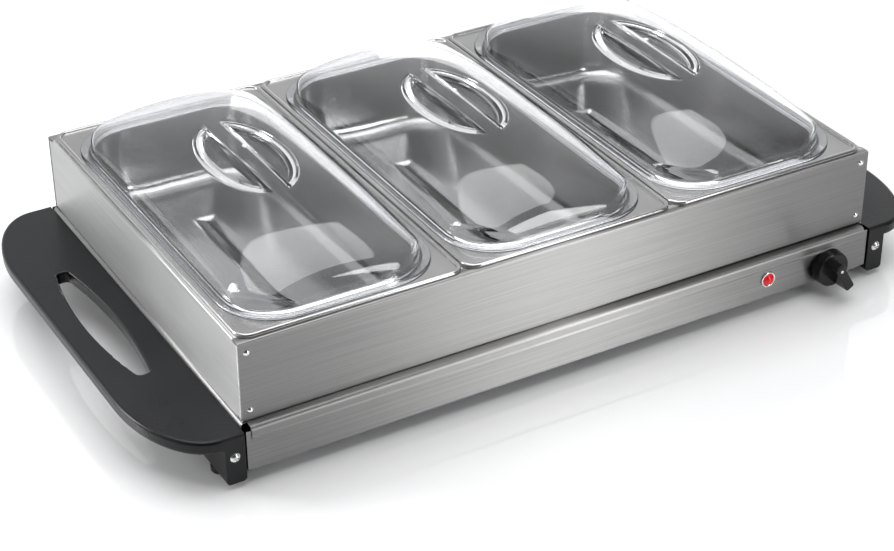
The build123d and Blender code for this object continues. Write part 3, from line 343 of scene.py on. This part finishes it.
def finish_cad_nodes():
    """Give every CAD node that stays visible its look."""
    # Both are the same stainless sheet. The darker colour of the front copy, used on the front and rear
    # panels and the hot plate, is painted shade. The lighter colour of the side copy, used on the side
    # panels and divider bars, is painted light.
    front_steel_painted_shade = brushed_steel("brushed_front_painted_shade", "X", (0.27, 0.268, 0.266), (0.34, 0.337, 0.334), 0.38)
    side_steel_painted_light = brushed_steel("brushed_side_painted_light", "Y", (0.46, 0.46, 0.46), (0.56, 0.56, 0.56), 0.38)
    paint(front_steel_painted_shade, "frame_front_panel", "frame_rear_panel", "hot_plate")
    paint(front_steel_painted_shade, "base_front_panel", "base_rear_panel")
    paint(side_steel_painted_light, "frame_side_left", "frame_side_right", "divider_bar_left", "divider_bar_right")
    galvanised = plated_metal("galvanised_look", (0.42, 0.43, 0.44), (0.55, 0.56, 0.57), 0.42)
    paint(galvanised, "base_side_left", "base_side_right", "bottom_cover", "heat_shield")
    paint(galvanised, "thermostat_bracket", "fuse_clip", "lamp_clip")
    bright = plated_metal("bright_plated", (0.72, 0.72, 0.72), (0.86, 0.86, 0.86), 0.16)
    paint(bright, "cover_screws", "handle_screws", "frame_rivets", "indicator_bezel", "terminal_screws")
    paint(bright, "thermal_fuse", "thermostat_shaft")
    black = moulded_plastic(
        "black_moulding_look", (0.003, 0.0032, 0.0042), (0.005, 0.0053, 0.0066), 0.3, specular=0.28
    )
    paint(black, "handle_left", "handle_right", "cord_gland")
    gloss = moulded_plastic(
        "black_gloss_look", (0.005, 0.005, 0.006), (0.008, 0.008, 0.009), 0.14,
        grain=900.0, strength=0.03, specular=0.28,
    )
    paint(gloss, "control_knob", "knob_bezel")
    rubber = moulded_plastic(
        "foot_rubber_look", (0.016, 0.016, 0.016), (0.026, 0.026, 0.026), 0.7, grain=1100.0, strength=0.3
    )
    paint(rubber, "rubber_feet")
    paint(plated_metal("foil_look", (0.74, 0.74, 0.75), (0.86, 0.86, 0.87), 0.25), "heater_foil")
    sheath = moulded_plastic("silicone_look", (0.66, 0.62, 0.56), (0.74, 0.71, 0.66), 0.6)
    paint(sheath, "heater_wire")
    felt = moulded_plastic(
        "glass_fibre_look", (0.70, 0.68, 0.62), (0.84, 0.82, 0.76), 0.95, grain=700.0, strength=0.6
    )
    paint(felt, "insulation_mat")
    ceramic = moulded_plastic("ceramic_look", (0.76, 0.74, 0.69), (0.84, 0.82, 0.78), 0.55)
    paint(ceramic, "thermostat_body", "terminal_block")
    brass = plated_metal("brass_look", (0.62, 0.46, 0.2), (0.78, 0.6, 0.3), 0.28)
    paint(brass, "bimetal_strip", "earth_stud")
    paint(moulded_plastic("white_mark_look", (0.8, 0.8, 0.78), (0.88, 0.88, 0.86), 0.4), "knob_pointer_dot")
    paint(red_lens(), "indicator_lens")
    paint(clear_plastic(), "neon_lamp")
    brown = moulded_plastic("brown_wire_look", (0.14, 0.06, 0.03), (0.2, 0.09, 0.05), 0.5)
    paint(brown, "wire_live", "wire_load")
    paint(moulded_plastic("blue_wire_look", (0.02, 0.07, 0.3), (0.03, 0.1, 0.38), 0.5), "wire_neutral")
    paint(moulded_plastic("green_wire_look", (0.08, 0.3, 0.05), (0.12, 0.38, 0.08), 0.5), "wire_earth")


# ---- pans ------------------------------------------------------------------------------------
def pan_rim(half_x, half_y, deck):
    """Rings from the rim's lower edge, over the bead and across the deck."""
    rings = []

    def ring(inset, z, corner):
        rings.append((half_x - inset, half_y - inset, max(corner, SMALLEST_CORNER), z))

    radius = BEAD_WIDTH / 2
    ring(0.0, deck - BEAD_DROP, PAN_RIM_CORNER)
    ring(0.0, deck + BEAD_HEIGHT - radius, PAN_RIM_CORNER)
    for step in range(1, BEAD_STEPS + 1):
        angle = math.radians(180 - 180 * step / BEAD_STEPS)
        inset = radius + radius * math.cos(angle)
        ring(inset, deck + BEAD_HEIGHT - radius + radius * math.sin(angle), PAN_RIM_CORNER - inset)
    inner_corner = PAN_RIM_CORNER - BEAD_WIDTH
    ring(BEAD_WIDTH, deck + BEAD_FOOT, inner_corner)
    ring(BEAD_WIDTH + BEAD_FOOT_STEP, deck + BEAD_FOOT_STEP, inner_corner)
    ring(BEAD_WIDTH + BEAD_FOOT, deck, inner_corner - BEAD_FOOT_CORNER)
    foot = rings[-1][:3]
    mouth = (PAN_OPENING[0] + PAN_SHOULDER, PAN_OPENING[1] + PAN_SHOULDER, PAN_CORNER + PAN_SHOULDER)
    for share in (0.08, 0.5, 0.92):
        rings.append(tuple(lerp(a, b, share) for a, b in zip(foot, mouth)) + (deck,))
    return rings


def pan_tub(deck, floor):
    """Rings from the shoulder, down the tapered wall and across the floor."""
    open_x, open_y = PAN_OPENING
    rings = []
    for degrees in range(0, 91, 15):
        turn = math.radians(degrees)
        inset = PAN_SHOULDER * (1 - math.sin(turn))
        drop = PAN_SHOULDER * (1 - math.cos(turn))
        rings.append((open_x + inset, open_y + inset, PAN_CORNER + inset, deck - drop))
    start = deck - PAN_SHOULDER
    wall_foot = floor + PAN_FLOOR_ROUND
    for share in (0.04, 0.5, 0.96, 1.0):
        z = lerp(start, wall_foot, share)
        inset = (start - z) * math.tan(PAN_TAPER)
        rings.append((open_x - inset, open_y - inset, PAN_CORNER - inset, z))
    base_inset = (start - wall_foot) * math.tan(PAN_TAPER)
    for step in range(1, FLOOR_STEPS + 1):
        turn = math.radians(90 * step / FLOOR_STEPS)
        inset = base_inset + PAN_FLOOR_ROUND * (1 - math.cos(turn))
        z = floor + PAN_FLOOR_ROUND * (1 - math.sin(turn))
        rings.append((open_x - inset, open_y - inset, PAN_CORNER - inset, z))
    half_x, half_y, corner, _ = rings[-1]
    for share in (0.12, 0.5, 0.8, 0.97):
        rings.append((half_x * (1 - share), half_y - half_x * share, corner * (1 - share), floor))
    return rings


def build_pan(name):
    """Pressed pan of thin sheet: beaded rim, deck and tapered tub."""
    low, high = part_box(name)
    centre = ((low.x + high.x) / 2, (low.y + high.y) / 2)
    half_x = (high.x - low.x) / 2
    half_y = (high.y - low.y) / 2
    deck = high.z - BEAD_HEIGHT
    floor = low.z + PAN_SHEET
    tub = pan_tub(deck, floor)
    underside = []
    for tub_x, tub_y, corner, z in reversed(tub):
        on_wall = floor + WALL_MARGIN < z < deck - WALL_MARGIN
        grow = PAN_SHEET if on_wall else 0.0
        level_part = z <= floor + PAN_FLOOR_ROUND or z >= deck - PAN_SHOULDER
        lower = z - PAN_SHEET if level_part else z
        underside.append((tub_x + grow, tub_y + grow, corner + grow, max(lower, low.z)))
    inside_rim = (half_x - PAN_SHEET, half_y - PAN_SHEET, PAN_RIM_CORNER - PAN_SHEET, deck - BEAD_DROP)
    profile = pan_rim(half_x, half_y, deck) + tub + underside + [inside_rim]
    return loft(name + "_shell", [rounded_ring(a, b, c, z, centre) for a, b, c, z in profile], closed=True)


# ---- lids ------------------------------------------------------------------------------------
def outline_reach(half_x, half_y, corner, dx, dy):
    """Distance from the middle of a rounded rectangle to its edge along a unit direction."""
    if abs(dx) > 1e-9 and abs(dy * half_x / dx) <= half_y - corner:
        return half_x / abs(dx)
    if abs(dy) > 1e-9 and abs(dx * half_y / dy) <= half_x - corner:
        return half_y / abs(dy)
    to_x = math.copysign(half_x - corner, dx)
    to_y = math.copysign(half_y - corner, dy)
    along = dx * to_x + dy * to_y
    aside = to_x * to_x + to_y * to_y - along * along
    return along + math.sqrt(max(corner * corner - aside, 0.0))


def dome_share(x, y, half_x, half_y, corner):
    """Height of the dome as a share of its rise: round across, fuller along, 0 on the foot."""
    along_x, along_y = min(abs(x) / half_x, 1.0), min(abs(y) / half_y, 1.0)
    pillow = math.sqrt((1 - along_x ** DOME_POWER_X) * (1 - along_y ** DOME_POWER_Y))
    over_x, over_y = abs(x) - half_x + corner, abs(y) - half_y + corner
    outside = math.hypot(max(over_x, 0.0), max(over_y, 0.0)) + min(max(over_x, over_y), 0.0)
    margin = min(max(corner - outside, 0.0) / DOME_EDGE, 1.0)
    edge = math.sqrt(1 - (1 - margin) ** 2)
    if pillow < 1e-6 or edge < 1e-6:
        return 0.0
    return (pillow ** -DOME_BLEND + edge ** -DOME_BLEND) ** (-1 / DOME_BLEND)


def pocket_outline(a, b, bar):
    """D-shaped outline right of the grip bar: elliptic arc, then chord, anticlockwise."""
    limit = math.acos(bar / a)
    points = []
    for step in range(ARC_STEPS + 1):
        angle = lerp(-limit, limit, step / ARC_STEPS)
        points.append((a * math.cos(angle), b * math.sin(angle)))
    tip = b * math.sin(limit)
    points += [(bar, lerp(tip, -tip, step / BAR_ROWS)) for step in range(1, BAR_ROWS)]
    return points


def pocket_profile(rim_round, floor_round):
    """(inset, slope share, depth below the rim, height above the floor) down a pocket's wall."""
    steps = []
    for degrees in (22.5, 45.0, 67.5, 90.0):
        turn = math.radians(degrees)
        steps.append((rim_round * math.sin(turn), 0.0, rim_round * (1 - math.cos(turn)), None))
    below_rim, above_floor = GRIP_WALL_MARGIN
    steps.append((rim_round + 0.1 * GRIP_DRAFT, 0.06, 1.4 * rim_round + below_rim, None))
    foot = rim_round + GRIP_DRAFT
    steps.append((foot - 0.1 * GRIP_DRAFT, 0.94, None, floor_round + above_floor))
    for degrees in range(0, 91, 15):
        turn = math.radians(degrees)
        inset = foot + floor_round * (1 - math.cos(turn))
        steps.append((inset, 1.0, None, floor_round * (1 - math.sin(turn))))
    steps.append((foot + floor_round + GRIP_FLOOR_MARGIN, 1.0, None, 0.0))
    return steps


def lid_skin(mesh, inset, foot_z, crown_z, rim_round, floor_round):
    """One surface of a lid, outer or inner, from the finger pockets down to the foot.

    Returns the ring of vertices at its foot and the angle of each of them.
    """
    vertices, faces, centre = mesh
    flip = inset > 0
    a, b, bar = GRIP_HALF_WIDTH + inset, GRIP_HALF_LENGTH + inset, GRIP_BAR_HALF - inset
    half_x, half_y, corner = PAN_OPENING[0] - inset, PAN_OPENING[1] - inset, PAN_CORNER - inset
    floor_z = crown_z - GRIP_DEPTH

    def dome(x, y):
        return foot_z + (crown_z - foot_z) * dome_share(x, y, half_x, half_y, corner)

    def put(x, y, z):
        vertices.append(Vector((x, y, z)) + centre)
        return len(vertices) - 1

    def face(*corners):
        faces.append(tuple(reversed(corners)) if flip else tuple(corners))

    def join(inside, outside):
        for k in range(len(inside)):
            m = (k + 1) % len(inside)
            face(inside[k], outside[k], outside[m], inside[m])

    def pocket(side):
        """The finger pocket on one side.  Returns the ring at its rim."""
        outline = pocket_outline(a, b, bar)
        rim = [put(side * x, side * y, dome(x, y)) for x, y in outline]
        ring = rim
        for step_in, slope, depth, height in pocket_profile(rim_round, floor_round):
            arc_in = step_in + slope * GRIP_SLOPE
            drawn = pocket_outline(a - arc_in, b - arc_in, bar + step_in)
            new = []
            for x, y in drawn:
                z = floor_z + height if depth is None else dome(x, y) - depth
                new.append(put(side * x, side * y, z))
            join(new, ring)
            ring = new
        face(*ring)
        return rim

    right = pocket(1)
    left = pocket(-1)
    limit = math.acos(bar / a)
    grid = []
    for row in range(BAR_ROWS + 1):
        line = []
        for column in range(CAP_STEPS + 1):
            if column == 0:
                line.append(right[0] if row == BAR_ROWS else right[ARC_STEPS + row])
            elif column == CAP_STEPS:
                line.append(left[0] if row == 0 else left[ARC_STEPS + BAR_ROWS - row])
            else:
                angle = lerp(limit, math.pi - limit, column / CAP_STEPS)
                x, y = a * math.cos(angle), (1 - 2 * row / BAR_ROWS) * b * math.sin(angle)
                line.append(put(x, y, dome(x, y)))
        grid.append(line)
    for row in range(BAR_ROWS):
        for column in range(CAP_STEPS):
            face(grid[row + 1][column + 1], grid[row + 1][column], grid[row][column], grid[row][column + 1])

    loop = right[:ARC_STEPS + 1] + grid[0][1:CAP_STEPS]
    loop += left[:ARC_STEPS + 1] + grid[BAR_ROWS][CAP_STEPS - 1:0:-1]
    places = [vertices[index] - centre for index in loop]
    angles = [math.atan2(place.y / b, place.x / a) for place in places]
    ring = loop
    for step in range(1, DOME_STEPS + 1):
        share = math.sin(math.radians(90) * step / DOME_STEPS)
        new = []
        for place, angle in zip(places, angles):
            foot_x, foot_y = foot_point(angle, half_x, half_y, corner)
            x, y = lerp(place.x, foot_x, share), lerp(place.y, foot_y, share)
            new.append(put(x, y, foot_z if step == DOME_STEPS else dome(x, y)))
        join(ring, new)
        ring = new
    return ring, angles


def foot_point(angle, half_x, half_y, corner):
    """Where a ray at an angle, stretched like the outline, meets a rounded rectangle."""
    dx, dy = math.cos(angle) * half_x, math.sin(angle) * half_y
    length = math.hypot(dx, dy)
    reach = outline_reach(half_x, half_y, corner, dx / length, dy / length)
    return dx / length * reach, dy / length * reach


def lid_skirt(flange_x, flange_y, top_z, bottom_z):
    """Rings from the dome's foot, out over the flange, back under it and down the rib."""
    foot_x, foot_y = PAN_OPENING
    small, medium, large = LID_EASE
    rings = []
    for degrees in range(15, 91, 15):
        turn = math.radians(degrees)
        grow = LID_FOOT_ROUND * (1 - math.cos(turn))
        drop = LID_FOOT_ROUND * (1 - math.sin(turn))
        rings.append((foot_x + grow, foot_y + grow, PAN_CORNER + grow, top_z + drop))
    half = LID_FLANGE_THICKNESS / 2
    rings.append((foot_x + LID_FOOT_LAND, foot_y + LID_FOOT_LAND, PAN_CORNER + LID_FOOT_LAND, top_z))
    rings.append((flange_x - half - large, flange_y - half - large, LID_FLANGE_CORNER - half, top_z))
    for step in range(9):
        turn = math.radians(22.5 * step)
        draw = half * (1 - math.sin(turn))
        z = top_z - half * (1 - math.cos(turn))
        rings.append((flange_x - draw, flange_y - draw, LID_FLANGE_CORNER - draw, z))
    under_z = top_z - LID_FLANGE_THICKNESS
    rib_x, rib_y = foot_x - LID_RIB_CLEARANCE, foot_y - LID_RIB_CLEARANCE
    rib_corner = PAN_CORNER - LID_RIB_CLEARANCE
    inner_corner = PAN_CORNER - LID_WALL
    rings += [
        (rib_x + large, rib_y + large, rib_corner, under_z),
        (rib_x, rib_y, rib_corner, under_z - small),
        (rib_x, rib_y, rib_corner, bottom_z + medium),
        (rib_x - small, rib_y - small, rib_corner, bottom_z + small / 2),
        (rib_x - large, rib_y - large, rib_corner, bottom_z),
        (foot_x - 0.8 * LID_WALL, foot_y - 0.8 * LID_WALL, inner_corner, bottom_z),
        (foot_x - LID_WALL, foot_y - LID_WALL, inner_corner, bottom_z + medium),
    ]
    return rings


def build_lid(name):
    """Clear moulding: dome with two finger pockets, flange and locating rib, all one wall."""
    low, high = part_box(name)
    centre = Vector(((low.x + high.x) / 2, (low.y + high.y) / 2, 0))
    flange_x, flange_y = (high.x - low.x) / 2, (high.y - low.y) / 2
    top_z = low.z + LID_RIB_DEPTH + LID_FLANGE_THICKNESS
    foot_z = top_z + LID_FOOT_ROUND
    vertices = []
    faces = []
    mesh = (vertices, faces, centre)

    def join(upper, lower):
        for k in range(len(upper)):
            m = (k + 1) % len(upper)
            faces.append((upper[k], lower[k], lower[m], upper[m]))

    ring, angles = lid_skin(mesh, 0.0, foot_z, high.z, GRIP_RIM_ROUND, GRIP_FLOOR_ROUND)
    for half_x, half_y, corner, z in lid_skirt(flange_x, flange_y, top_z, low.z):
        below = []
        for angle in angles:
            x, y = foot_point(angle, half_x, half_y, corner)
            vertices.append(Vector((x, y, z)) + centre)
            below.append(len(vertices) - 1)
        join(ring, below)
        ring = below
    inner_round = GRIP_FLOOR_ROUND + LID_WALL
    inner, _ = lid_skin(mesh, LID_WALL, foot_z, high.z - LID_WALL, GRIP_INNER_EDGE, inner_round)
    join(ring, inner)
    return mesh_object(name + "_moulding", vertices, faces)


def build_gate_mark(name):
    """Small dimpled disc left by the mould's gate, in the middle of the grip bar."""
    low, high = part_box(name)
    centre = ((low.x + high.x) / 2, (low.y + high.y) / 2)
    rings = []
    for radius, height in GATE_MARK:
        size = radius * MM
        rings.append(rounded_ring(size, size, size, high.z + height * MM, centre))
    return loft(name + "_gate_mark", rings, cap_start=True, cap_end=True)


# ---- studio ----------------------------------------------------------------------------------
def add_camera():
    """Camera at the given place, turned by azimuth, elevation and roll."""
    data = bpy.data.cameras.new("view")
    data.lens = CAMERA_LENS
    data.sensor_width = SENSOR_WIDTH
    camera = bpy.data.objects.new("view", data)
    bpy.context.scene.collection.objects.link(camera)
    flat = math.cos(CAMERA_ELEVATION)
    sine, cosine = math.sin(CAMERA_AZIMUTH), math.cos(CAMERA_AZIMUTH)
    forward = Vector((sine * flat, cosine * flat, -math.sin(CAMERA_ELEVATION)))
    right = Vector((cosine, -sine, 0))
    up = right.cross(forward)
    c, s = math.cos(CAMERA_ROLL), math.sin(CAMERA_ROLL)
    right, up = right * c - up * s, right * s + up * c
    turn = Matrix((right, up, -forward)).transposed().to_4x4()
    camera.matrix_world = Matrix.Translation(CAMERA_PLACE) @ turn
    bpy.context.scene.camera = camera


def add_softbox(name, place, target, size, power):
    """Rectangular soft light that faces a point."""
    data = bpy.data.lights.new(name, "AREA")
    data.shape = "RECTANGLE"
    data.size = size[0]
    data.size_y = size[1]
    data.energy = power
    lamp = bpy.data.objects.new(name, data)
    bpy.context.scene.collection.objects.link(lamp)
    aim = Vector(target) - Vector(place)
    lamp.matrix_world = Matrix.Translation(Vector(place)) @ aim.to_track_quat("-Z", "Y").to_matrix().to_4x4()


def add_world():
    """Soft surroundings: bright behind and overhead, dimmer in front."""
    world = bpy.data.worlds.new("studio")
    bpy.context.scene.world = world
    world.use_nodes = True
    nodes, links = world.node_tree.nodes, world.node_tree.links
    place = nodes.new("ShaderNodeTexCoord")
    split = nodes.new("ShaderNodeSeparateXYZ")
    links.new(place.outputs["Generated"], split.inputs["Vector"])
    depth = nodes.new("ShaderNodeMapRange")
    depth.interpolation_type = "SMOOTHSTEP"
    depth.inputs["From Min"].default_value, depth.inputs["From Max"].default_value = WORLD_BLEND
    depth.inputs["To Min"].default_value = WORLD_FRONT
    depth.inputs["To Max"].default_value = WORLD_BACK
    links.new(split.outputs["Y"], depth.inputs["Value"])
    links.new(depth.outputs["Result"], nodes["Background"].inputs["Strength"])
    nodes["Background"].inputs["Color"].default_value = WORLD_COLOUR


def add_studio():
    """Floor, surroundings and lights."""
    corners = [(sx * FLOOR_HALF, sy * FLOOR_HALF, 0) for sx, sy in ((-1, -1), (1, -1), (1, 1), (-1, 1))]
    floor = mesh_object("studio_floor", corners, [(0, 1, 2, 3)])
    floor.data.materials.append(floor_white())
    add_world()
    bpy.context.scene.view_settings.view_transform = "Standard"
    for softbox in SOFTBOXES:
        add_softbox(*softbox)


add_camera()
add_studio()
finish_cad_nodes()

steel = pressed_steel()
clear = clear_plastic()
for side in ("left", "middle", "right"):
    pan = build_pan("pan_" + side)
    pan.data.materials.append(steel)
    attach(pan, side + "_pan")
    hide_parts("pan_" + side)
    lid = build_lid("lid_" + side)
    lid.data.materials.append(clear)
    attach(lid, side + "_lid")
    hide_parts("lid_" + side)
    mark = build_gate_mark("lid_" + side)
    mark.data.materials.append(clear)
    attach(mark, side + "_lid")
